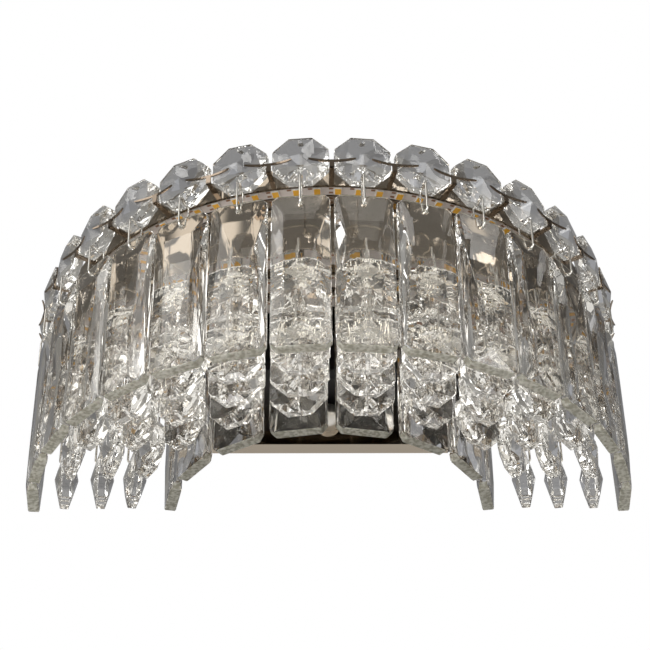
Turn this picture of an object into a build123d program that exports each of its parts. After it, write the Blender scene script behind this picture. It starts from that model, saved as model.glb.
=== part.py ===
"""Crystal wall sconce: half rings of LED strip hung with faceted octagons and frosted plates.

Millimetres. The wall is the plane Y = 0 and the lamp stands out towards -Y, with +Z up. The origin
is the middle of the wall bracket, on the axis of its stud. All half rings share one upright axis,
which lies in the front face of the back pan. Heights are measured from the crown line, the height
at which the T-shaped clips hold the top row of octagons.
"""
from build123d import *
from math import cos, radians, sin
import os

# ---------------------------------------------------------------- driving dimensions
crown_line_z = 40.0  # height of the clips' arms above the bracket's stud

# wall bracket, stud and cap nut
bracket_length = 82.0
bracket_height = 22.0
bracket_thickness = 2.0
bracket_corner = 3.5
slot_spacing = 60.0
slot_length = 14.0
slot_width = 4.6
stud_radius = 2.0
stud_side_count = 12
stud_clearance = 0.3  # round the stud in the pan
stud_end_wall = 2.5  # solid nose of the cap nut in front of the stud
lock_nut_width = 7.0
lock_nut_thickness = 3.0
cap_nut_radius = 5.8
cap_nut_collar = 3.0
cap_nut_side_count = 12
earth_screw_x = -15.0
earth_head_radius = 3.6
earth_head_thickness = 2.2

# back pan
pan_width = 110.0
pan_depth = 8.0
pan_sheet = 1.2
pan_wall_gap = 0.5
pan_bottom = -52.5
pan_corner = 2.5
grommet_margin = 8.5  # from the pan's side to the cable hole
grommet_height = -42.0
grommet_bore = 3.2
grommet_neck = 4.6
grommet_flange = 6.4
grommet_lip = 1.4
grommet_side_count = 12

# LED driver in front of the pan
driver_width = 92.0
driver_depth = 24.0
driver_top = -5.5
driver_bottom = -32.5
driver_corner = 3.0
foot_length = 6.0
foot_thickness = 2.5
foot_margin = 6.0  # from the housing's top or bottom to the foot's
foot_screw_radius = 1.6
foot_screw_head = 2.9
foot_screw_head_height = 1.9

# top plate and half rings
plate_sheet = 1.2
plate_underside = 2.8
ring_sheet = 1.2
crown_ring_bottom = -5.5
row_ring_bottom = -33.5
inner_ring_bottom = -8.4
flange_gap = 0.3  # least distance from a flange to the next ring
inner_flange_width = 12.0
swing_gap = 1.4  # from the fourth ring's flange to the hanging inner plates
crown_flange_rise = 1.4  # underside of the first ring's flange above its lower edge
flange_rise = 3.6  # the same on the other rings
eye_rise = 2.5  # eyes in the lip above the ring's lower edge
eye_radius = 1.0

# LED strips under the flanges
strip_width = 8.0
crown_strip_width = 5.2
strip_thickness = 0.6
strip_inset = 3.0  # from the ring's middle line to the strip's outer edge
crown_strip_inset = 1.0

# octagons
octagon_across = 22.4
octagon_rim = 3.4
octagon_thickness = 10.0
octagon_eye = 8.2  # from the centre to an eye
crown_count = 16
crown_radius = 124.5  # middle plane of the crown octagons and of the outer plates
crown_rise = 2.3  # centre of the crown octagons above the crown line
crown_seat = 0.3  # from the crown octagons to the first ring
row_counts = [14, 12, 10]
row_steps = [13.1, 14.9, 13.5]  # from the crown and from row to row, inward
inner_step = 16.2  # from the last row of strings to the inner plates

# T-shaped clips between the crown octagons
clip_sheet = 0.8
clip_width = 2.6
clip_post_gap = 0.9  # from the octagons' rim to the post
clip_arm_height = 1.4
clip_arm_end = 3.2  # from the octagon's middle line to the arm's end
clip_clearance = 0.45
clip_leg_top = -3.1

# wire links
wire = 0.9
link_half_width = 3.4  # from the link's middle line to the middle of its side wires
short_link = 11.1  # eye to eye
long_link = 14.3

# frosted plates
plate_width = 23.0
plate_length = 72.3
plate_rim = 3.6
plate_middle = 5.4
plate_peak = 7.6
plate_corner = 2.3
plate_eye = 4.9  # eye below the top edge
plate_eye_radius = 1.1
upper_peak = 0.22  # ridge points, as shares of the plate's length from its top
lower_peak = 0.9
inner_plate_count = 8

# ---------------------------------------------------------------- derived places
axis_y = -pan_depth
grommet_x = pan_width / 2 - grommet_margin
ring_flat_count = crown_count  # the half rings are bent in short flats, with a clip at each fold
crown_ring_radius = crown_radius - octagon_thickness / 2 - crown_seat  # outer face
row_radii = [crown_radius - sum(row_steps[: i + 1]) for i in range(len(row_steps))]
inner_ring_radius = row_radii[-1] - inner_step
clip_post_radius = crown_radius + octagon_rim / 2 + clip_post_gap + clip_sheet  # outer face
plate_top = plate_underside + plate_sheet
crown_pitch = 180.0 / crown_count
octagon_eye_height = crown_rise - octagon_eye
outer_plate_eye_height = octagon_eye_height - long_link
inner_eye_height = inner_ring_bottom + eye_rise
inner_plate_eye_height = inner_eye_height - long_link
row_eye_height = row_ring_bottom + eye_rise
upper_centre = row_eye_height - short_link - octagon_eye
lower_centre = upper_centre - 2 * octagon_eye - short_link


def z_of(height):
    """Turn a height from the crown line into a Z coordinate."""
    return crown_line_z + height


def on_ring(piece, radius, angle, height):
    """Place a piece made at the origin, facing -Y, on a half ring. Angle 0 is the front."""
    return Pos(0, axis_y, z_of(height)) * Rot(0, 0, angle) * Pos(0, -radius, 0) * piece


def row_angles(count):
    """Angles of a row of crystals that shares the half circle evenly."""
    step = 180.0 / count
    return [(i - (count - 1) / 2) * step for i in range(count)]


def slab(x_size, y_range, height_range):
    """A plain block, centred on X, between two depths and two heights."""
    depth = abs(y_range[1] - y_range[0])
    tall = abs(height_range[1] - height_range[0])
    middle = Pos(0, sum(y_range) / 2, z_of(sum(height_range) / 2))
    return middle * Box(x_size, depth, tall)


def bent_arc(radius):
    """Corners of a half ring that is bent in short flats, in plan, from left to right."""
    turns = [radians(i * 180 / ring_flat_count - 90) for i in range(ring_flat_count + 1)]
    return [(radius * sin(t), axis_y - radius * cos(t)) for t in turns]


def upright(corners, height_range):
    """A closed outline in plan, raised between two heights."""
    outline = make_face(Polyline(*corners, close=True))
    tall = height_range[1] - height_range[0]
    return Pos(0, 0, z_of(height_range[0])) * extrude(outline, tall)


def half_tube(outer, inner, height_range):
    """Half of a flat-ended tube round the lamp's axis, on the room side of it."""
    return upright(bent_arc(outer) + bent_arc(inner)[::-1], height_range)


def drilled_eye(radius, length):
    """A small eye along Y, drawn as a square with the radius to its flats."""
    return Box(2 * radius, length, 2 * radius)


# ---------------------------------------------------------------- wall side
def stud_outline(clearance=0.0):
    """Section of the stud or of a hole for it, drawn with a few flats."""
    return RegularPolygon(stud_radius + clearance, stud_side_count)


def wall_bracket():
    """Flat steel bar with two slots for wall screws and a hole for the stud."""
    outline = Rectangle(bracket_length, bracket_height)
    outline = chamfer(outline.vertices(), bracket_corner)
    for side in (-1, 1):
        outline -= Pos(side * slot_spacing / 2, 0) * SlotOverall(slot_length, slot_width)
    outline -= stud_outline()
    outline -= Pos(earth_screw_x, 0) * stud_outline()
    return extrude(Plane.XZ * outline, bracket_thickness)


def stud_tip_y():
    """Front end of the stud, inside the cap nut."""
    return axis_y - cap_nut_collar - cap_nut_radius + stud_end_wall


def bracket_stud():
    """Threaded stud, riveted flush with the back of the bracket."""
    return extrude(Plane.XZ * stud_outline(), -stud_tip_y())


def lock_nut():
    """Hexagon nut that holds the stud to the bracket."""
    outline = RegularPolygon(lock_nut_width / 2, 6, major_radius=False) - stud_outline()
    return Pos(0, -bracket_thickness, 0) * extrude(Plane.XZ * outline, lock_nut_thickness)


def cap_nut():
    """Round nut with a stepped dome, screwed on the stud against the front of the pan."""
    collar = Plane.XZ * RegularPolygon(cap_nut_radius, cap_nut_side_count)
    body = Pos(0, axis_y, 0) * extrude(collar, cap_nut_collar)
    ledge = Plane.XZ.offset(cap_nut_collar - axis_y)
    shoulder = Plane.XZ.offset(cap_nut_collar + cap_nut_radius * sin(radians(45)) - axis_y)
    nose = Plane.XZ.offset(cap_nut_collar + cap_nut_radius - axis_y)
    dome = loft(
        [
            ledge * RegularPolygon(cap_nut_radius, cap_nut_side_count),
            shoulder * RegularPolygon(cap_nut_radius * cos(radians(45)), cap_nut_side_count),
            nose * RegularPolygon(cap_nut_radius * sin(radians(15)), cap_nut_side_count),
        ],
        ruled=True,
    )
    blind = Pos(0, axis_y, 0) * extrude(Plane.XZ * stud_outline(), axis_y - stud_tip_y())
    return body + dome - blind


def earth_screw():
    """Pan-head earth screw in the bracket."""
    shank = extrude(Plane.XZ * stud_outline(), bracket_thickness)
    head = Plane.XZ * RegularPolygon(earth_head_radius, 8)
    head = Pos(0, -bracket_thickness, 0) * extrude(head, earth_head_thickness)
    return Pos(earth_screw_x, 0, 0) * (shank + head)


def back_pan():
    """Folded sheet pan that stands on the wall, open at the back."""
    heights = (pan_bottom, plate_underside)
    block = slab(pan_width, (axis_y, -pan_wall_gap), heights)
    block = chamfer(block.edges().filter_by(Axis.Y), pan_corner)
    inside = (pan_bottom + pan_sheet, plate_underside - pan_sheet)
    hollow = slab(pan_width - 2 * pan_sheet, (axis_y + pan_sheet, 0), inside)
    hollow = chamfer(hollow.edges().filter_by(Axis.Y), pan_corner - pan_sheet)
    stud_hole = extrude(Plane.XZ * stud_outline(stud_clearance), pan_depth + 1)
    cable_hole = extrude(Plane.XZ * RegularPolygon(grommet_neck, grommet_side_count), pan_depth + 1)
    cable_hole = Pos(grommet_x, 0, z_of(grommet_height)) * cable_hole
    return block - hollow - stud_hole - cable_hole


def cable_grommet():
    """Rubber ring that lines the cable hole in the pan."""
    bore = Circle(grommet_bore)
    neck = Plane.XZ * (RegularPolygon(grommet_neck, grommet_side_count) - bore)
    lip = Plane.XZ * (RegularPolygon(grommet_flange, grommet_side_count) - bore)
    middle = extrude(neck, pan_sheet)
    back = Pos(0, grommet_lip, 0) * extrude(lip, grommet_lip)
    front = Pos(0, -pan_sheet, 0) * extrude(lip, grommet_lip)
    ring = middle + back + front
    return Pos(grommet_x, axis_y + pan_sheet, z_of(grommet_height)) * ring


# ---------------------------------------------------------------- LED driver
def foot_x():
    """Middle of a driver foot, left or right of the housing."""
    return driver_width / 2 + foot_length / 2


def led_driver():
    """Black driver housing with a screw foot at each end."""
    housing = slab(driver_width, (axis_y - driver_depth, axis_y), (driver_bottom, driver_top))
    long_edges = housing.edges().filter_by(Axis.X).group_by(Axis.Y)[0]
    housing = chamfer(long_edges, driver_corner)
    for side in (-1, 1):
        heights = (driver_bottom + foot_margin, driver_top - foot_margin)
        foot = slab(foot_length, (axis_y - foot_thickness, axis_y), heights)
        hole = Plane.XZ * RegularPolygon(foot_screw_radius, 8)
        hole = extrude(hole, pan_depth + driver_depth)
        hole = Pos(0, 0, z_of((driver_top + driver_bottom) / 2)) * hole
        housing += Pos(side * foot_x(), 0, 0) * (foot - hole)
    return housing


def driver_screws():
    """Two screws through the driver's feet."""
    screws = []
    for side in (-1, 1):
        shank = extrude(Plane.XZ * RegularPolygon(foot_screw_radius, 8), foot_thickness)
        head = extrude(Plane.XZ * RegularPolygon(foot_screw_head, 8), foot_screw_head_height)
        head = Pos(0, -foot_thickness, 0) * head
        middle = z_of((driver_top + driver_bottom) / 2)
        screws.append(Pos(side * foot_x(), axis_y, middle) * (shank + head))
    return Compound(children=screws)


# ---------------------------------------------------------------- top plate, rings and strips
def top_plate():
    """Half disc that closes the lamp, with a tongue back over the pan."""
    tall = (plate_underside, plate_top)
    half = upright(bent_arc(crown_ring_radius), tall)
    tongue = slab(pan_width, (axis_y, -pan_wall_gap), tall)
    return half + tongue


def ring(outer, bottom, rise, flange, eye_angles):
    """Bent sheet half ring: an upright band with a flange turned in above its lower edge."""
    band = half_tube(outer, outer - ring_sheet, (bottom, plate_underside))
    shelf = (bottom + rise, bottom + rise + ring_sheet)
    inner = outer - ring_sheet - flange
    whole = band + half_tube(outer - ring_sheet / 2, inner, shelf)
    for angle in eye_angles:
        drill = drilled_eye(eye_radius, 3 * ring_sheet)
        whole -= on_ring(drill, outer - ring_sheet / 2, angle, bottom + eye_rise)
    return whole


def led_strip(outer, bottom, rise, inset, width):
    """Flexible LED board stuck under a ring's flange."""
    top = bottom + rise
    edge = outer - ring_sheet / 2 - inset
    return half_tube(edge, edge - width, (top - strip_thickness, top))


def clip_arm(side):
    """Half of a clip's bar, bent outward along an octagon's facet, in that octagon's frame."""
    half_pitch = radians(crown_pitch / 2)
    post_back = clip_post_radius - clip_sheet
    slope = (octagon_thickness - octagon_rim) / octagon_across
    facet = crown_radius + octagon_thickness / 2 - slope * clip_arm_end
    tip = (side * clip_arm_end, -(facet + clip_clearance))
    root = (side * post_back * sin(half_pitch), -post_back * cos(half_pitch))
    corners = [tip, root, (root[0], root[1] - clip_sheet), (tip[0], tip[1] - clip_sheet)]
    bar = make_face(Polyline(*corners, close=True))
    return extrude(bar, clip_arm_height / 2, both=True)


def crown_clip(angle, sides):
    """T-shaped clip: a leg out from the first ring, a post up and an arm to each neighbour."""
    post_top = clip_arm_height / 2
    post_bottom = clip_leg_top - clip_sheet
    leg_length = clip_post_radius - crown_ring_radius
    leg = Box(clip_width, leg_length, clip_sheet)
    post = Box(clip_width, clip_sheet, post_top - post_bottom)
    middle = (crown_ring_radius + clip_post_radius) / 2
    clip = on_ring(leg, middle, angle, clip_leg_top - clip_sheet / 2)
    middle = clip_post_radius - clip_sheet / 2
    clip += on_ring(post, middle, angle, (post_top + post_bottom) / 2)
    for side in sides:
        clip += on_ring(clip_arm(-side), 0, angle + side * crown_pitch / 2, 0)
    return clip


def crown_clips():
    """One clip at each gap of the crown, the end ones with a single arm."""
    clips = []
    for k in range(crown_count + 1):
        sides = [side for side in (-1, 1) if 0 <= k + min(side, 0) < crown_count]
        clips.append(crown_clip((k - crown_count / 2) * crown_pitch, sides))
    return Compound(children=clips)


# ---------------------------------------------------------------- crystals
def octagon(eyes):
    """Eight-sided crystal: a low pyramid on each face of a rim, with small drilled eyes."""
    outline = RegularPolygon(octagon_across / 2, 8, major_radius=False, rotation=22.5)
    corners = [(v.X, y, v.Y) for v in outline.vertices() for y in (-octagon_rim / 2, octagon_rim / 2)]
    peaks = [(0, -octagon_thickness / 2, 0), (0, octagon_thickness / 2, 0)]
    crystal = ConvexPolyhedron(corners + peaks)
    for side in eyes:
        crystal -= Pos(0, 0, side * octagon_eye) * drilled_eye(eye_radius, octagon_thickness)
    return crystal


def frosted_plate():
    """Long crystal plate, hung by an eye, with its origin at the eye."""
    half = plate_width / 2
    top = plate_eye
    bottom = plate_eye - plate_length
    rim = plate_rim / 2
    corners = [
        (-half + plate_corner, rim, top),
        (half - plate_corner, rim, top),
        (half, rim, top - plate_corner),
        (half, rim, bottom + plate_corner),
        (half - plate_corner, rim, bottom),
        (-half + plate_corner, rim, bottom),
        (-half, rim, bottom + plate_corner),
        (-half, rim, top - plate_corner),
    ]
    facets = [
        (0, plate_peak / 2, top - upper_peak * plate_length),
        (-half, plate_middle / 2, (top + bottom) / 2),
        (half, plate_middle / 2, (top + bottom) / 2),
        (0, plate_peak / 2, top - lower_peak * plate_length),
    ]
    both = [(x, side * y, z) for x, y, z in corners + facets for side in (-1, 1)]
    crystal = ConvexPolyhedron(both)
    return crystal - drilled_eye(plate_eye_radius, 2 * plate_peak)


def wire_link(span):
    """Closed ring of square wire, seen from the side, hung from its upper eye at the origin."""
    outer = Rectangle(2 * link_half_width + wire, span + wire)
    inner = Rectangle(2 * link_half_width - wire, span - wire)
    loop = extrude(Plane.YZ * (outer - inner), wire / 2, both=True)
    return Pos(0, 0, -span / 2) * loop


def row(piece, radius, count, height):
    """Copies of a piece round a half ring, as separate solids of one group."""
    return Compound(children=[on_ring(piece, radius, a, height) for a in row_angles(count)])


# ---------------------------------------------------------------- the whole lamp
def wall_parts():
    """Everything from the wall to the driver."""
    return {
        "wall_bracket": wall_bracket(),
        "bracket_stud": bracket_stud(),
        "lock_nut": lock_nut(),
        "cap_nut": cap_nut(),
        "earth_screw": earth_screw(),
        "back_pan": back_pan(),
        "cable_grommet": cable_grommet(),
        "led_driver": led_driver(),
        "driver_screws": driver_screws(),
    }


def ring_parts():
    """Top plate, the five half rings with their LED strips, and the crown's clips."""
    half_sheet = ring_sheet / 2
    parts = {"top_plate": top_plate(), "crown_clips": crown_clips()}
    crown = (crown_ring_radius, crown_ring_bottom, crown_flange_rise)
    crown_flange = crown_ring_radius - ring_sheet - row_radii[0] - half_sheet - flange_gap
    parts["ring_1"] = ring(*crown, crown_flange, [])
    parts["led_strip_1"] = led_strip(*crown, crown_strip_inset, crown_strip_width)
    flanges = [step - ring_sheet - flange_gap for step in row_steps[1:]]
    flanges.append(inner_step - half_sheet - plate_peak / 2 - swing_gap)
    hung = list(zip(row_radii, row_counts, flanges, [row_ring_bottom] * len(row_radii)))
    hung.append((inner_ring_radius, inner_plate_count, inner_flange_width, inner_ring_bottom))
    for i, (radius, count, flange, bottom) in enumerate(hung, start=2):
        sheet = (radius + half_sheet, bottom, flange_rise)
        parts[f"ring_{i}"] = ring(*sheet, flange, row_angles(count))
        parts[f"led_strip_{i}"] = led_strip(*sheet, strip_inset, strip_width)
    return parts


def crown_parts():
    """Crown octagons and the outer plates that hang from them."""
    link = wire_link(long_link)
    parts = {
        "crown_octagons": row(octagon((-1,)), crown_radius, crown_count, crown_rise),
        "outer_plate_links": row(link, crown_radius, crown_count, octagon_eye_height),
    }
    plate = frosted_plate()
    for i, angle in enumerate(row_angles(crown_count), start=1):
        hung = on_ring(plate, crown_radius, angle, outer_plate_eye_height)
        parts[f"outer_plate_{i:02d}"] = hung
    return parts


def inner_parts():
    """Inner plates and their links, under the fifth ring."""
    link = wire_link(long_link)
    links = row(link, inner_ring_radius, inner_plate_count, inner_eye_height)
    parts = {"inner_plate_links": links}
    plate = frosted_plate()
    for i, angle in enumerate(row_angles(inner_plate_count), start=1):
        hung = on_ring(plate, inner_ring_radius, angle, inner_plate_eye_height)
        parts[f"inner_plate_{i}"] = hung
    return parts


def string_parts():
    """Three rows of hanging strings, each of two octagons and two short links."""
    parts = {}
    upper = octagon((-1, 1))
    lower = octagon((1,))
    link = wire_link(short_link)
    for name, radius, count in zip("abc", row_radii, row_counts):
        links = []
        for height in (row_eye_height, upper_centre - octagon_eye):
            links += [on_ring(link, radius, a, height) for a in row_angles(count)]
        parts[f"row_{name}_links"] = Compound(children=links)
        parts[f"row_{name}_upper"] = row(upper, radius, count, upper_centre)
        parts[f"row_{name}_lower"] = row(lower, radius, count, lower_centre)
    return parts


def main():
    """Build every piece and write one file for each."""
    os.makedirs("parts", exist_ok=True)
    parts = wall_parts() | ring_parts() | crown_parts() | inner_parts() | string_parts()
    for name, shape in parts.items():
        export_step(shape, f"parts/{name}.step")


main()
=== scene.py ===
"""Crystal wall sconce: camera, light, materials and the fine shapes of crystals, wires and boards.

Metres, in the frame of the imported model: the wall is the plane Y = 0, the room lies towards -Y and
the origin is the middle of the wall bracket. Sizes are written in millimetres and scaled by MM.
"""
import math
import random

import bmesh
import bpy
from mathutils import Matrix, Vector


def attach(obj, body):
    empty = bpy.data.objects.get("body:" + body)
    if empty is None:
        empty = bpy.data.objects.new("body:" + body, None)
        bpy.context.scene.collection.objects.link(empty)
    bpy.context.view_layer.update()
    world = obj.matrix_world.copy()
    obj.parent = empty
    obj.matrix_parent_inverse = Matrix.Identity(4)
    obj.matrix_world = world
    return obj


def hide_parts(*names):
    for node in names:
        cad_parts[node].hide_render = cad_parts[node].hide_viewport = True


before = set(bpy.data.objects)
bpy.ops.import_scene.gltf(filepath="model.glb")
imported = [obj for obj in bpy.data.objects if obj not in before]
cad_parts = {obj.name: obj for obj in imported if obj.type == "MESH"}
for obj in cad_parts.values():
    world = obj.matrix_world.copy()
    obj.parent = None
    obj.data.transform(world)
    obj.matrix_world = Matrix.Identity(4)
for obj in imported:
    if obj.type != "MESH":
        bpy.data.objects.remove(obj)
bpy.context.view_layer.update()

MM = 0.001
BODY = "lamp_frame"

# ------------------------------------------------------------------ driving sizes, in millimetres
AXIS_Y = -8.0  # upright axis shared by all half rings
CROWN_LINE_Z = 40.0  # height that the other heights are measured from

CROWN_RADIUS = 124.5
CROWN_COUNT = 16
CROWN_RISE = 2.3
RING_SHEET = 1.2
CROWN_RING_OUTER = 119.2
CROWN_RING_BOTTOM = -5.5
CROWN_FLANGE_RISE = 1.4
ROWS = {"a": (111.4, 14), "b": (96.5, 12), "c": (83.0, 10)}
ROW_RING_BOTTOM = -33.5
INNER_RADIUS = 66.8
INNER_COUNT = 8
INNER_RING_BOTTOM = -8.4
FLANGE_RISE = 3.6
CROWN_FLANGE = 5.7  # widths of the flanges, from the first ring inward
HUNG_FLANGES = [13.4, 12.0, 10.4, 12.0]
EYE_RISE = 2.5
PLATE_UNDERSIDE = 2.8

OCTAGON_ACROSS = 22.4
OCTAGON_RIM = 3.4
OCTAGON_THICKNESS = 10.0
OCTAGON_EYE = 8.2
OCTAGON_BORE = 0.95  # radius of an eye
OCTAGON_POLISH = 0.12  # width of the polished edges
STAR_RADIUS = 6.6  # inner points of the octagon's star cut
STRING_TWIST = 5  # degrees, most that an octagon of a string is turned about its upright
TWIST_SEED = 11

PLATE_WIDTH = 23.0
PLATE_LENGTH = 72.3
PLATE_RIM = 4.7  # thickness of the ground lower end
PLATE_EDGE = 1.8  # thickness at the sides and the top, where the long facets run out
PLATE_CORNER = 2.3
PLATE_EYE = 4.9
PLATE_BORE = 1.1
PLATE_POLISH = 0.28
# Points of the cut: half width, depth from the middle plane, share of the length from the top.
# None is deeper than the solid plate's 3.8, so the swinging plates clear the rings as the
# solids do.
FRONT_POINTS = [(6.4, 3.2, 0.15), (0.0, 3.8, 0.44), (5.6, 3.4, 0.74), (0.0, 3.7, 0.9)]
BACK_POINTS = [(5.0, 3.3, 0.3), (0.0, 3.8, 0.62), (0.0, 3.5, 0.9)]

WIRE = 0.9
LINK_HALF_WIDTH = 3.4
LINK_CORNER = 1.2  # bend radius at the link's corners
SHORT_LINK = 11.1
LONG_LINK = 14.3

STRIP_WIDTH = 8.0
CROWN_STRIP_WIDTH = 5.2
STRIP_THICKNESS = 0.6
STRIP_INSET = 3.0
CROWN_STRIP_INSET = 1.0
LED_PITCH = 25.0 / 3
LED_LONG = 2.9
LED_WIDE = 3.9
LED_HIGH = 0.7
EMITTER = 2.5
EMITTER_DEPTH = 1.35  # depth of a window as a share of its width
PAD_LONG = 1.0
PAD_WIDE = 1.7
PAD_OFFSET = 0.24  # from the board's middle line, as a share of its width
STRIP_SPAN = 176  # degrees of the half circle that the LEDs take up
LED_SHIFT = -0.75  # degrees, from the middle of the lamp

CLIP_SHEET = 0.7
CLIP_HEIGHT = 0.95
CLIP_WIDTH = 2.0
CLIP_POST_OUTER = 127.9
CLIP_LEG_TOP = -3.1
CLIP_ARM_END = 3.2
CLIP_CLEARANCE = 0.45

CAP_NUT_RADIUS = 5.8
CAP_NUT_COLLAR = 3.0

ARC_STEPS = 120  # segments of a smooth half ring

# ------------------------------------------------------------------ the studio
WHITE_IN_GLASS = 0.06  # share of the white background that glass and metal add to the studio
FLOOR_GLOW = 0.8  # share of plain bright ground that glass and metal see in the floor
LAMP_SIZE = 0.8  # metres
ROOM_SHADE = (0.23, 0.225, 0.21)  # plain studio round the lamp
STUDIO_PATCHES = [  # heading, spread and edge in degrees, light
    ((0.9, 0.35, 0.1), 36, 20, (0.04, 0.036, 0.03)),
    ((-0.9, 0.35, 0.1), 26, 20, (0.13, 0.12, 0.10)),
    ((0.0, 0.8, 0.6), 20, 16, (0.12, 0.122, 0.133)),
    ((0.14, 0.75, 0.65), 6, 2, (0.27, 0.28, 0.31)),
    ((-0.2, 0.85, 0.5), 7, 2, (0.04, 0.04, 0.045)),
    ((-0.67, -0.45, 0.58), 13, 4, (2.6, 2.55, 2.45)),
    ((0.85, -0.45, 0.3), 6, 3, (1.4, 1.35, 1.25)),
    ((0.1, -0.95, -0.1), 20, 5, (2.4, 2.32, 2.16)),
]


def z_of(height):
    """Z in millimetres of a height from the crown line."""
    return CROWN_LINE_Z + height


def row_angles(count):
    """Angles of a row that shares the half circle evenly, 0 at the front."""
    step = 180.0 / count
    return [(i - (count - 1) / 2) * step for i in range(count)]


def ring_place(radius, angle, height, yaw=0.0):
    """Matrix, in millimetres, of a piece that faces -Y at its own origin, set on a half ring."""
    turn = Matrix.Rotation(math.radians(angle), 4, "Z")
    own = Matrix.Rotation(math.radians(yaw), 4, "Z")
    out = Matrix.Translation((0, -radius, 0))
    return Matrix.Translation((0, AXIS_Y, z_of(height))) @ turn @ out @ own


# ------------------------------------------------------------------ camera
def add_camera():
    """The photograph's view: from below, a little left of the middle, tilted up by 35 degrees."""
    position = Vector((-13.7, -654.5, -408.5)) * MM
    pitch = math.radians(35.42)
    yaw = math.radians(-1.135)
    roll = math.radians(-0.667)
    turn = Matrix.Rotation(yaw, 3, "Z") @ Matrix.Rotation(math.pi / 2 + pitch, 3, "X")
    turn = turn @ Matrix.Rotation(roll, 3, "Z")
    data = bpy.data.cameras.new("camera")
    data.sensor_width = 36.0
    data.lens = 96.04
    data.clip_start = 0.01
    camera = bpy.data.objects.new("camera", data)
    camera.location = position
    camera.rotation_euler = turn.to_euler()
    bpy.context.collection.objects.link(camera)
    bpy.context.scene.camera = camera


# ------------------------------------------------------------------ light and background
def soft_patch(tree, colour, heading, spread, edge, light):
    """Lay a round patch of light over the studio, round a heading, sizes in degrees."""
    place = tree.nodes.new("ShaderNodeTexCoord")
    across = tree.nodes.new("ShaderNodeVectorMath")
    across.operation = "DOT_PRODUCT"
    across.inputs[1].default_value = Vector(heading).normalized()
    tree.links.new(place.outputs["Generated"], across.inputs[0])
    fade = tree.nodes.new("ShaderNodeMapRange")
    fade.interpolation_type = "SMOOTHSTEP"
    fade.inputs["From Min"].default_value = math.cos(math.radians(spread + edge))
    fade.inputs["From Max"].default_value = math.cos(math.radians(spread))
    tree.links.new(across.outputs["Value"], fade.inputs["Value"])
    blend = tree.nodes.new("ShaderNodeMix")
    blend.data_type = "RGBA"
    blend.clamp_result = False
    blend.inputs["B"].default_value = (*light, 1)
    tree.links.new(fade.outputs["Result"], blend.inputs["Factor"])
    tree.links.new(colour, blend.inputs["A"])
    return blend.outputs["Result"]


def studio_colour(tree):
    """Plain grey studio round the lamp, with soft boxes and dimmer screens."""
    room = tree.nodes.new("ShaderNodeRGB")
    room.outputs["Color"].default_value = (*ROOM_SHADE, 1)
    colour = room.outputs["Color"]
    for patch in STUDIO_PATCHES:
        colour = soft_patch(tree, colour, *patch)
    return colour


def add_world():
    """The studio lights the lamp; the camera sees plain white behind it."""
    world = bpy.data.worlds.new("studio")
    world.use_nodes = True
    tree = world.node_tree
    tree.nodes.clear()
    output = tree.nodes.new("ShaderNodeOutputWorld")
    mix = tree.nodes.new("ShaderNodeMixShader")
    white = tree.nodes.new("ShaderNodeBackground")
    white.inputs["Color"].default_value = (1, 1, 1, 1)
    white.inputs["Strength"].default_value = 1.0
    studio = tree.nodes.new("ShaderNodeBackground")
    studio.inputs["Strength"].default_value = 1.0
    tree.links.new(studio_colour(tree), studio.inputs["Color"])
    rays = tree.nodes.new("ShaderNodeLightPath")
    seen = rays.outputs["Is Camera Ray"]
    for kind in ("Is Transmission Ray", "Is Glossy Ray"):
        add = tree.nodes.new("ShaderNodeMath")
        add.operation = "MULTIPLY_ADD"
        add.inputs[1].default_value = WHITE_IN_GLASS
        tree.links.new(rays.outputs[kind], add.inputs[0])
        tree.links.new(seen, add.inputs[2])
        seen = add.outputs["Value"]
    tree.links.new(seen, mix.inputs["Fac"])
    tree.links.new(studio.outputs["Background"], mix.inputs[1])
    tree.links.new(white.outputs["Background"], mix.inputs[2])
    tree.links.new(mix.outputs["Shader"], output.inputs["Surface"])
    bpy.context.scene.world = world


def add_lamp(name, position, target, power):
    """A square soft lamp that looks at a point."""
    data = bpy.data.lights.new(name, "AREA")
    data.shape = "SQUARE"
    data.size = LAMP_SIZE
    data.energy = power
    lamp = bpy.data.objects.new(name, data)
    lamp.location = position
    lamp.rotation_euler = (Vector(target) - Vector(position)).to_track_quat("-Z", "Y").to_euler()
    bpy.context.collection.objects.link(lamp)


def add_lamps():
    """Two soft boxes, in front at the left and at the right."""
    aim = (0, -0.06, 0)
    add_lamp("key", (-0.9, -1.0, -0.5), aim, 12)
    add_lamp("fill", (1.1, -0.8, 0.1), aim, 6)


def floor_material():
    """Pale floor that the lamp's glass and metal see as a plain bright ground."""
    material = simple_material("floor", (0.86, 0.86, 0.85), 0.7)
    tree = material.node_tree
    shader = tree.nodes["Principled BSDF"]
    glow = tree.nodes.new("ShaderNodeEmission")
    glow.inputs["Color"].default_value = (0.92, 0.90, 0.86, 1)
    glow.inputs["Strength"].default_value = 1.0
    rays = tree.nodes.new("ShaderNodeLightPath")
    either = tree.nodes.new("ShaderNodeMath")
    either.operation = "MAXIMUM"
    tree.links.new(rays.outputs["Is Glossy Ray"], either.inputs[0])
    tree.links.new(rays.outputs["Is Transmission Ray"], either.inputs[1])
    share = tree.nodes.new("ShaderNodeMath")
    share.operation = "MULTIPLY"
    share.inputs[1].default_value = FLOOR_GLOW
    tree.links.new(either.outputs["Value"], share.inputs[0])
    blend = tree.nodes.new("ShaderNodeMixShader")
    tree.links.new(share.outputs["Value"], blend.inputs["Fac"])
    tree.links.new(shader.outputs["BSDF"], blend.inputs[1])
    tree.links.new(glow.outputs["Emission"], blend.inputs[2])
    output = tree.nodes["Material Output"]
    tree.links.new(blend.outputs["Shader"], output.inputs["Surface"])
    return material


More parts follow.
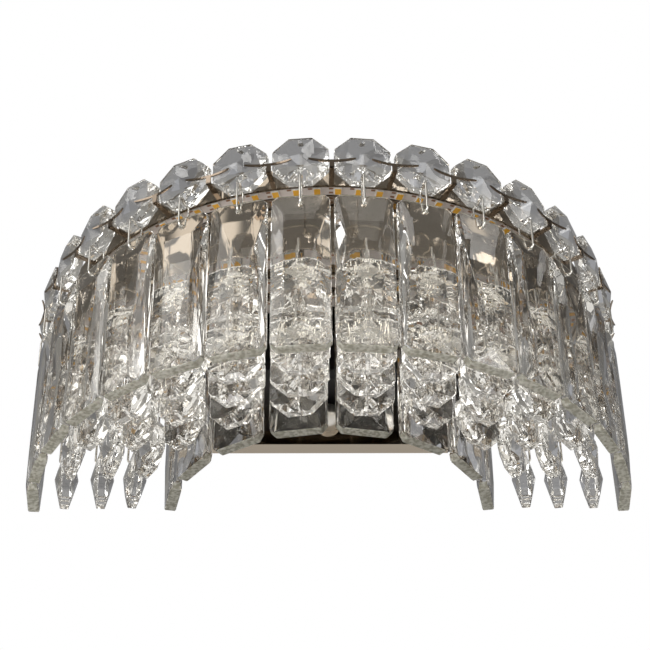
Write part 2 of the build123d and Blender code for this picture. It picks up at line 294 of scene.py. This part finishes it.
def add_floor():
    """Pale floor well below the wall lamp."""
    bpy.ops.mesh.primitive_plane_add(size=8, location=(0, -1.0, -1.4))
    floor = bpy.context.object
    floor.name = "floor"
    floor.data.materials.append(floor_material())


# ------------------------------------------------------------------ materials
def principled(name):
    """A new material with its shader node and node tree."""
    material = bpy.data.materials.new(name)
    material.use_nodes = True
    tree = material.node_tree
    return material, tree, tree.nodes["Principled BSDF"]


def simple_material(name, colour, roughness, metallic=0.0):
    """One colour with faint cloudy variation in colour and roughness."""
    material, tree, shader = principled(name)
    noise = tree.nodes.new("ShaderNodeTexNoise")
    noise.inputs["Scale"].default_value = 90.0
    noise.inputs["Detail"].default_value = 4.0
    place = tree.nodes.new("ShaderNodeTexCoord")
    tree.links.new(place.outputs["Object"], noise.inputs["Vector"])
    ramp = tree.nodes.new("ShaderNodeMapRange")
    ramp.inputs["To Min"].default_value = max(roughness - 0.06, 0.02)
    ramp.inputs["To Max"].default_value = roughness + 0.06
    tree.links.new(noise.outputs["Fac"], ramp.inputs["Value"])
    tree.links.new(ramp.outputs["Result"], shader.inputs["Roughness"])
    tint = tree.nodes.new("ShaderNodeMix")
    tint.data_type = "RGBA"
    tint.inputs["A"].default_value = (*[c * 0.94 for c in colour], 1)
    tint.inputs["B"].default_value = (*[min(c * 1.04, 1) for c in colour], 1)
    tree.links.new(noise.outputs["Fac"], tint.inputs["Factor"])
    tree.links.new(tint.outputs["Result"], shader.inputs["Base Color"])
    shader.inputs["Metallic"].default_value = metallic
    return material


def crystal_material():
    """Clear polished crystal."""
    material, _, shader = principled("crystal")
    shader.inputs["Base Color"].default_value = (0.985, 0.975, 0.952, 1)
    shader.inputs["Roughness"].default_value = 0.0
    shader.inputs["IOR"].default_value = 1.54
    shader.inputs["Transmission Weight"].default_value = 1.0
    return material


def frosted_material():
    """Ground end of a crystal plate: rough, greenish grey and a little see-through."""
    material, tree, shader = principled("ground_edge")
    noise = tree.nodes.new("ShaderNodeTexNoise")
    noise.inputs["Scale"].default_value = 700.0
    noise.inputs["Detail"].default_value = 3.0
    place = tree.nodes.new("ShaderNodeTexCoord")
    tree.links.new(place.outputs["Object"], noise.inputs["Vector"])
    tint = tree.nodes.new("ShaderNodeMix")
    tint.data_type = "RGBA"
    tint.inputs["A"].default_value = (0.40, 0.38, 0.29, 1)
    tint.inputs["B"].default_value = (0.86, 0.84, 0.74, 1)
    mottle = tree.nodes.new("ShaderNodeMapRange")
    mottle.inputs["From Min"].default_value = 0.40
    mottle.inputs["From Max"].default_value = 0.60
    tree.links.new(noise.outputs["Fac"], mottle.inputs["Value"])
    tree.links.new(mottle.outputs["Result"], tint.inputs["Factor"])
    tree.links.new(tint.outputs["Result"], shader.inputs["Base Color"])
    bump = tree.nodes.new("ShaderNodeBump")
    bump.inputs["Strength"].default_value = 0.4
    bump.inputs["Distance"].default_value = 0.0002
    tree.links.new(noise.outputs["Fac"], bump.inputs["Height"])
    tree.links.new(bump.outputs["Normal"], shader.inputs["Normal"])
    shader.inputs["Roughness"].default_value = 0.45
    shader.inputs["IOR"].default_value = 1.5
    shader.inputs["Transmission Weight"].default_value = 0.55
    return material


# ------------------------------------------------------------------ mesh helpers
def hull(points):
    """Convex solid over a list of points, its flat faces kept whole."""
    shape = bmesh.new()
    for point in sorted(set(points)):
        shape.verts.new(point)
    bmesh.ops.convex_hull(shape, input=shape.verts)
    loose = [v for v in shape.verts if not v.link_faces]
    bmesh.ops.delete(shape, geom=loose, context="VERTS")
    bmesh.ops.dissolve_limit(shape, angle_limit=0.002, verts=shape.verts, edges=shape.edges)
    bmesh.ops.recalc_face_normals(shape, faces=shape.faces)
    return shape


def polish_edges(shape, width):
    """Tiny bevel on every edge, as wheel-polished crystal has."""
    bmesh.ops.bevel(
        shape, geom=shape.edges[:], offset=width, segments=1, affect="EDGES", clamp_overlap=True
    )


def to_mesh(shape, name):
    """Turn a bmesh into mesh data and free it."""
    mesh = bpy.data.meshes.new(name)
    shape.to_mesh(mesh)
    shape.free()
    return mesh


def drill(mesh, centres, radius, length):
    """Cut round eyes along Y through a mesh."""
    target = bpy.data.objects.new("drilled", mesh)
    bpy.context.collection.objects.link(target)
    cutters = []
    for x, z in centres:
        tool = bmesh.new()
        turn = Matrix.Translation((x, 0, z)) @ Matrix.Rotation(math.pi / 2, 4, "X")
        round_tool = {"segments": 12, "radius1": radius, "radius2": radius, "depth": length}
        bmesh.ops.create_cone(tool, cap_ends=True, matrix=turn, **round_tool)
        cutter = bpy.data.objects.new("cutter", to_mesh(tool, "cutter"))
        bpy.context.collection.objects.link(cutter)
        cut = target.modifiers.new("eye", "BOOLEAN")
        cut.operation = "DIFFERENCE"
        cut.solver = "EXACT"
        cut.object = cutter
        cutters.append(cutter)
    bpy.context.view_layer.update()
    solid = target.evaluated_get(bpy.context.evaluated_depsgraph_get())
    result = bpy.data.meshes.new_from_object(solid)
    for thing in cutters + [target]:
        bpy.data.objects.remove(thing)
    return result


def gather(name, mesh, places, materials):
    """One object that holds a copy of a mesh at each place, scaled from millimetres."""
    joined = bmesh.new()
    for place in places:
        copy = mesh.copy()
        copy.transform(place)
        joined.from_mesh(copy)
        bpy.data.meshes.remove(copy)
    for vertex in joined.verts:
        vertex.co *= MM
    piece = bpy.data.objects.new(name, to_mesh(joined, name))
    for material in materials:
        piece.data.materials.append(material)
    bpy.context.collection.objects.link(piece)
    return piece


def seat(piece, body, slot, *nodes):
    """Ride on a body and stand for CAD nodes. The slot is not used."""
    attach(piece, body)
    if nodes:
        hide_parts(*nodes)


# ------------------------------------------------------------------ crystals
def octagon_mesh(eyes):
    """Star-cut octagon: eight kites round a point and eight triangles along the rim, twice."""
    half = OCTAGON_ACROSS / 2
    fall = (OCTAGON_THICKNESS - OCTAGON_RIM) / 2
    corner = half / math.cos(math.pi / 8)
    star = OCTAGON_THICKNESS / 2 - fall * STAR_RADIUS * math.cos(math.pi / 8) / corner
    points = []
    for side in (-1, 1):
        points.append((0, side * OCTAGON_THICKNESS / 2, 0))
        for k in range(8):
            outer = math.radians(45 * k + 22.5)
            inner = math.radians(45 * k)
            x, z = corner * math.cos(outer), corner * math.sin(outer)
            points.append((x, side * OCTAGON_RIM / 2, z))
            x, z = STAR_RADIUS * math.cos(inner), STAR_RADIUS * math.sin(inner)
            points.append((x, side * star, z))
    shape = hull(points)
    polish_edges(shape, OCTAGON_POLISH)
    mesh = to_mesh(shape, "octagon")
    return drill(mesh, [(0, side * OCTAGON_EYE) for side in eyes], OCTAGON_BORE, 12)


def plate_mesh():
    """Long plate, its origin at the eye, with crossing facets on both faces and ground ends."""
    half = PLATE_WIDTH / 2
    top = PLATE_EYE
    bottom = PLATE_EYE - PLATE_LENGTH
    outline = [
        (half - PLATE_CORNER, PLATE_EDGE, top),
        (half, PLATE_EDGE, top - PLATE_CORNER),
        (half, (PLATE_EDGE + PLATE_RIM) / 2, bottom + PLATE_CORNER),
        (half - PLATE_CORNER, PLATE_RIM, bottom),
    ]
    points = []
    for mirror in (-1, 1):
        for x, thick, z in outline:
            points += [(mirror * x, side * thick / 2, z) for side in (-1, 1)]
        for side, facets in ((-1, FRONT_POINTS), (1, BACK_POINTS)):
            for x, out, share in facets:
                points.append((mirror * x, side * out, top - share * PLATE_LENGTH))
    shape = hull(points)
    polish_edges(shape, PLATE_POLISH)
    for face in shape.faces:
        if abs(face.normal.z) > 0.6 and face.calc_area() > 1.0:
            face.material_index = 1
    mesh = to_mesh(shape, "plate")
    return drill(mesh, [(0, 0)], PLATE_BORE, 8)


def add_octagons(crystal):
    """Crown octagons and the three rows of strings, which hang with a slight twist."""
    chance = random.Random(TWIST_SEED)
    mesh = octagon_mesh((-1, 1))
    places = [ring_place(CROWN_RADIUS, a, CROWN_RISE) for a in row_angles(CROWN_COUNT)]
    crown = gather("crown_crystals", mesh, places, [crystal])
    seat(crown, BODY, "crystal", "crown_octagons")
    eye = ROW_RING_BOTTOM + EYE_RISE
    upper = eye - SHORT_LINK - OCTAGON_EYE
    lower = upper - 2 * OCTAGON_EYE - SHORT_LINK
    for row, (radius, count) in ROWS.items():
        for level, height in (("upper", upper), ("lower", lower)):
            places = []
            for angle in row_angles(count):
                twist = chance.uniform(-STRING_TWIST, STRING_TWIST)
                places.append(ring_place(radius, angle, height, twist))
            string = gather(f"row_{row}_{level}_crystals", mesh, places, [crystal])
            seat(string, BODY, "crystal", f"row_{row}_{level}")


def add_plates(crystal, ground):
    """The 16 outer and 8 inner plates, each on its own body."""
    mesh = plate_mesh()
    outer_eye = CROWN_RISE - OCTAGON_EYE - LONG_LINK
    inner_eye = INNER_RING_BOTTOM + EYE_RISE - LONG_LINK
    for i, angle in enumerate(row_angles(CROWN_COUNT), start=1):
        name = f"outer_plate_{i:02d}"
        place = ring_place(CROWN_RADIUS, angle, outer_eye)
        plate = gather(f"{name}_crystal", mesh, [place], [crystal, ground])
        seat(plate, f"{name}_body", "plate_crystal", name)
    for i, angle in enumerate(row_angles(INNER_COUNT), start=1):
        name = f"inner_plate_{i}"
        place = ring_place(INNER_RADIUS, angle, inner_eye)
        plate = gather(f"{name}_crystal", mesh, [place], [crystal, ground])
        seat(plate, f"{name}_body", "plate_crystal", name)


# ------------------------------------------------------------------ wire links
def link_mesh(span):
    """Closed link of round wire with rounded corners, from its upper eye at the origin."""
    radius = LINK_CORNER
    width = LINK_HALF_WIDTH
    centres = [
        (width - radius, -radius, 0),
        (-(width - radius), -radius, 90),
        (-(width - radius), -span + radius, 180),
        (width - radius, -span + radius, 270),
    ]
    path = []
    for y, z, start in centres:
        for step in range(5):
            turn = math.radians(start + step * 22.5)
            path.append(Vector((0, y + radius * math.cos(turn), z + radius * math.sin(turn))))
    shape = bmesh.new()
    loops = []
    for i, point in enumerate(path):
        ahead = (path[(i + 1) % len(path)] - path[i - 1]).normalized()
        side = Vector((1, 0, 0))
        up = ahead.cross(side)
        loop = []
        for k in range(8):
            turn = math.radians(45 * k)
            offset = side * math.cos(turn) + up * math.sin(turn)
            loop.append(shape.verts.new(point + offset * WIRE / 2))
        loops.append(loop)
    for i, loop in enumerate(loops):
        following = loops[(i + 1) % len(loops)]
        for k in range(8):
            face = (loop[k], loop[(k + 1) % 8], following[(k + 1) % 8], following[k])
            shape.faces.new(face).smooth = True
    bmesh.ops.recalc_face_normals(shape, faces=shape.faces)
    return to_mesh(shape, "link")


def add_links(metal):
    """All wire links, long ones for the plates and short ones for the strings."""
    long_mesh = link_mesh(LONG_LINK)
    short_mesh = link_mesh(SHORT_LINK)
    height = CROWN_RISE - OCTAGON_EYE
    places = [ring_place(CROWN_RADIUS, a, height) for a in row_angles(CROWN_COUNT)]
    piece = gather("outer_links", long_mesh, places, [metal])
    seat(piece, BODY, "wire", "outer_plate_links")
    height = INNER_RING_BOTTOM + EYE_RISE
    places = [ring_place(INNER_RADIUS, a, height) for a in row_angles(INNER_COUNT)]
    piece = gather("inner_links", long_mesh, places, [metal])
    seat(piece, BODY, "wire", "inner_plate_links")
    top = ROW_RING_BOTTOM + EYE_RISE
    between = top - SHORT_LINK - 2 * OCTAGON_EYE
    for row, (radius, count) in ROWS.items():
        places = [ring_place(radius, a, h) for h in (top, between) for a in row_angles(count)]
        piece = gather(f"row_{row}_wires", short_mesh, places, [metal])
        seat(piece, BODY, "wire", f"row_{row}_links")


# ------------------------------------------------------------------ rings, boards and clips
def sweep_half(section, steps=ARC_STEPS):
    """Sweep a closed section, given as radius and height, round the room side of the axis."""
    shape = bmesh.new()
    rows = []
    for i in range(steps + 1):
        turn = math.radians(i * 180 / steps - 90)
        row = []
        for radius, height in section:
            x = radius * math.sin(turn)
            y = AXIS_Y - radius * math.cos(turn)
            row.append(shape.verts.new((x, y, z_of(height))))
        rows.append(row)
    count = len(section)
    for row, following in zip(rows, rows[1:]):
        for k in range(count):
            near, far = k, (k + 1) % count
            shape.faces.new((row[near], row[far], following[far], following[near]))
    shape.faces.new(rows[0])
    shape.faces.new(rows[-1])
    bmesh.ops.recalc_face_normals(shape, faces=shape.faces)
    for face in shape.faces:
        face.smooth = True
    return to_mesh(shape, "half_ring")


def ring_section(outer, bottom, rise, flange):
    """Outline of a ring: band from its lower edge to the top plate, with a flange turned in."""
    inner = outer - RING_SHEET
    shelf = bottom + rise
    return [
        (outer, bottom),
        (outer, PLATE_UNDERSIDE),
        (inner, PLATE_UNDERSIDE),
        (inner, shelf + RING_SHEET),
        (inner - flange, shelf + RING_SHEET),
        (inner - flange, shelf),
        (inner, shelf),
        (inner, bottom),
    ]


def add_ring(index, outer, bottom, rise, flange, metal):
    """One smooth half ring with sharp folds."""
    mesh = sweep_half(ring_section(outer, bottom, rise, flange))
    ring = gather(f"half_ring_{index}", mesh, [Matrix.Identity(4)], [metal])
    split = ring.modifiers.new("folds", "EDGE_SPLIT")
    split.split_angle = math.radians(30)
    seat(ring, BODY, "polished_metal", f"ring_{index}")


def block_mesh(x, y, z):
    """A plain block with its top at the origin, for chips and pads."""
    shape = bmesh.new()
    size = Matrix.Diagonal((x, y, z, 1))
    bmesh.ops.create_cube(shape, size=1, matrix=Matrix.Translation((0, 0, -z / 2)) @ size)
    return to_mesh(shape, "block")


def add_strip(index, outer, bottom, rise, inset, width, looks):
    """LED board with its chips, phosphor windows and cut pads, under a flange."""
    edge = outer - RING_SHEET / 2 - inset
    top = bottom + rise
    low = top - STRIP_THICKNESS
    section = [(edge, low), (edge, top), (edge - width, top), (edge - width, low)]
    board = gather(f"board_{index}", sweep_half(section), [Matrix.Identity(4)], [looks["board"]])
    split = board.modifiers.new("edges", "EDGE_SPLIT")
    split.split_angle = math.radians(30)
    seat(board, BODY, "led_board", f"led_strip_{index}")
    middle = edge - width / 2
    step = math.degrees(LED_PITCH / middle)
    count = int(STRIP_SPAN / step)
    angles = [(i - (count - 1) / 2) * step + LED_SHIFT for i in range(count)]
    chips = [ring_place(middle, a, low) for a in angles]
    case = block_mesh(LED_LONG, LED_WIDE, LED_HIGH)
    window = block_mesh(EMITTER, EMITTER * EMITTER_DEPTH, LED_HIGH + 0.05)
    for name, mesh, look in (("chips", case, "case"), ("windows", window, "phosphor")):
        piece = gather(f"{name}_{index}", mesh, chips, [looks[look]])
        seat(piece, BODY, "led_board")
    pads = []
    for i, angle in enumerate(angles):
        for across in (-1, 1) if i % 3 == 0 else (1,):
            radius = middle + across * width * PAD_OFFSET
            pads.append(ring_place(radius, angle - step / 3, low))
    pad = gather(f"pads_{index}", block_mesh(PAD_WIDE, PAD_LONG, 0.06), pads, [looks["copper"]])
    seat(pad, BODY, "led_board")


def add_rings(metal, looks):
    """Five rings with their boards."""
    crown = (CROWN_RING_OUTER, CROWN_RING_BOTTOM, CROWN_FLANGE_RISE)
    add_ring(1, *crown, CROWN_FLANGE, metal)
    add_strip(1, *crown, CROWN_STRIP_INSET, CROWN_STRIP_WIDTH, looks)
    hung = [(radius, ROW_RING_BOTTOM) for radius, _ in ROWS.values()]
    hung.append((INNER_RADIUS, INNER_RING_BOTTOM))
    for i, ((radius, bottom), flange) in enumerate(zip(hung, HUNG_FLANGES), start=2):
        sheet = (radius + RING_SHEET / 2, bottom, FLANGE_RISE)
        add_ring(i, *sheet, flange, metal)
        add_strip(i, *sheet, STRIP_INSET, STRIP_WIDTH, looks)


def clip_outline(angle, sides):
    """Centre line of a clip's bar, tip to tip, curved out along the octagons' facets."""
    half_pitch = 90.0 / CROWN_COUNT
    slope = (OCTAGON_THICKNESS - OCTAGON_RIM) / OCTAGON_ACROSS
    lift = OCTAGON_THICKNESS / 2 - slope * CLIP_ARM_END + CLIP_CLEARANCE + CLIP_SHEET / 2
    points = []
    for side in sides:
        place = ring_place(0, angle + side * half_pitch, 0)
        points.append(place @ Vector((-side * CLIP_ARM_END, -(CROWN_RADIUS + lift), 0)))
    post = ring_place(CLIP_POST_OUTER - CLIP_SHEET / 2, angle, 0) @ Vector((0, 0, 0))
    if len(points) == 2:
        return [points[0], post, points[1]]
    return [points[0], post] if sides[0] < 0 else [post, points[0]]


def bar_mesh(corners, outward):
    """Flat bar on edge along a line of points, smoothly bent, with rounded ends."""
    line = []
    if len(corners) == 3:
        control = corners[1] * 2 - (corners[0] + corners[2]) / 2
        for i in range(13):
            t = i / 12
            near = corners[0] * (1 - t) ** 2 + control * 2 * t * (1 - t) + corners[2] * t**2
            line.append(near)
    else:
        line = [corners[0].lerp(corners[1], i / 6) for i in range(7)]
    shape = bmesh.new()
    loops = []
    for i, point in enumerate(line):
        near_end = min(i, len(line) - 1 - i)
        tall = CLIP_HEIGHT / 2 * (0.45 if near_end == 0 else 0.92 if near_end == 1 else 1.0)
        loop = []
        for out, up in ((1, -1), (1, 1), (-1, 1), (-1, -1)):
            offset = outward * out * CLIP_SHEET / 2 * 0.8 + Vector((0, 0, up * tall))
            loop.append(shape.verts.new(point + offset))
        loops.append(loop)
    for loop, following in zip(loops, loops[1:]):
        for k in range(4):
            shape.faces.new((loop[k], loop[(k + 1) % 4], following[(k + 1) % 4], following[k]))
    shape.faces.new(loops[0])
    shape.faces.new(loops[-1])
    bmesh.ops.recalc_face_normals(shape, faces=shape.faces)
    return shape


def add_clips(metal):
    """T-shaped clips between the crown octagons."""
    pitch = 180.0 / CROWN_COUNT
    whole = bmesh.new()
    post_low = CLIP_LEG_TOP - CLIP_SHEET
    for k in range(CROWN_COUNT + 1):
        angle = (k - CROWN_COUNT / 2) * pitch
        sides = [s for s in (-1, 1) if 0 <= k + min(s, 0) < CROWN_COUNT]
        outward = ring_place(0, angle, 0).to_3x3() @ Vector((0, -1, 0))
        bar = to_mesh(bar_mesh(clip_outline(angle, sides), outward), "bar")
        whole.from_mesh(bar)
        post = block_mesh(CLIP_WIDTH, CLIP_SHEET, CLIP_HEIGHT / 2 - post_low)
        post.transform(ring_place(CLIP_POST_OUTER - CLIP_SHEET / 2, angle, CLIP_HEIGHT / 2))
        whole.from_mesh(post)
        run = CLIP_POST_OUTER - CROWN_RING_OUTER
        leg = block_mesh(CLIP_WIDTH, run, CLIP_SHEET)
        leg.transform(ring_place(CROWN_RING_OUTER + run / 2, angle, CLIP_LEG_TOP))
        whole.from_mesh(leg)
    clips = gather("clips", to_mesh(whole, "clips"), [Matrix.Identity(4)], [metal])
    seat(clips, BODY, "polished_metal", "crown_clips")


def add_cap_nut(metal):
    """Smooth domed nut on the front of the pan."""
    shape = bmesh.new()
    profile = [(CAP_NUT_RADIUS, 0), (CAP_NUT_RADIUS, CAP_NUT_COLLAR)]
    for step in range(1, 13):
        turn = math.radians(step * 7.5)
        reach = CAP_NUT_COLLAR + CAP_NUT_RADIUS * math.sin(turn)
        profile.append((CAP_NUT_RADIUS * math.cos(turn), reach))
    line = [shape.verts.new((radius, AXIS_Y - reach, 0)) for radius, reach in profile]
    edges = [shape.edges.new(pair) for pair in zip(line, line[1:])]
    bmesh.ops.spin(
        shape, geom=line + edges, cent=(0, 0, 0), axis=(0, 1, 0), angle=2 * math.pi, steps=48
    )
    bmesh.ops.remove_doubles(shape, verts=shape.verts, dist=0.001)
    bmesh.ops.recalc_face_normals(shape, faces=shape.faces)
    for face in shape.faces:
        face.smooth = True
    nut = gather("dome_nut", to_mesh(shape, "dome"), [Matrix.Identity(4)], [metal])
    seat(nut, BODY, "satin_metal", "cap_nut")


# ------------------------------------------------------------------ the lamp
def dress_nodes(looks):
    """Materials for the CAD nodes that stay as they are."""
    given = {
        "wall_bracket": "zinc",
        "bracket_stud": "zinc",
        "lock_nut": "zinc",
        "earth_screw": "brass",
        "back_pan": "nickel",
        "cable_grommet": "rubber",
        # the driver is a black plastic box whose near-black also stands for the unlit cavity behind
        # the plates: painted shade
        "led_driver": "black",
        "driver_screws": "zinc",
        "top_plate": "nickel",
    }
    for node, look in given.items():
        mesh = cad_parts[node].data
        mesh.materials.clear()
        mesh.materials.append(looks[look])


def main():
    """Build the scene."""
    add_camera()
    add_world()
    add_lamps()
    add_floor()
    looks = {
        "nickel": simple_material("warm_nickel", (0.39, 0.34, 0.28), 0.08, 1.0),
        # rings: the pan's nickel written darker, painted shade
        "ring": simple_material("ring_nickel", (0.30, 0.258, 0.21), 0.07, 1.0),
        # clips: the pan's nickel written darkest, painted shade
        "clip_nickel_painted_shade": simple_material("shaded_nickel", (0.26, 0.21, 0.165), 0.16, 1.0),
        "wire": simple_material("bright_wire", (0.82, 0.80, 0.76), 0.18, 1.0),
        "satin": simple_material("satin_nickel", (0.80, 0.77, 0.73), 0.4, 1.0),
        "zinc": simple_material("zinc", (0.70, 0.71, 0.72), 0.35, 1.0),
        "brass": simple_material("brass", (0.72, 0.58, 0.28), 0.3, 1.0),
        "rubber": simple_material("rubber", (0.03, 0.03, 0.03), 0.7),
        # black plastic driver, written near-black so it also stands for the unlit cavity behind the
        # plates: painted shade
        "black": simple_material("driver_black", (0.012, 0.012, 0.012), 0.6),
        "board": simple_material("board", (0.78, 0.70, 0.66), 0.5),
        "case": simple_material("led_case", (0.85, 0.84, 0.80), 0.4),
        "phosphor": simple_material("phosphor", (0.95, 0.50, 0.05), 0.35),
        "copper": simple_material("pad_copper", (0.38, 0.20, 0.12), 0.4, 0.6),
    }
    crystal = crystal_material()
    ground = frosted_material()
    add_octagons(crystal)
    add_plates(crystal, ground)
    add_links(looks["wire"])
    add_rings(looks["ring"], looks)
    add_clips(looks["clip_nickel_painted_shade"])
    add_cap_nut(looks["satin"])
    dress_nodes(looks)
    scene = bpy.context.scene
    scene.view_settings.view_transform = "Standard"
    scene.cycles.max_bounces = 32
    scene.cycles.transmission_bounces = 32
    scene.cycles.glossy_bounces = 12


main()
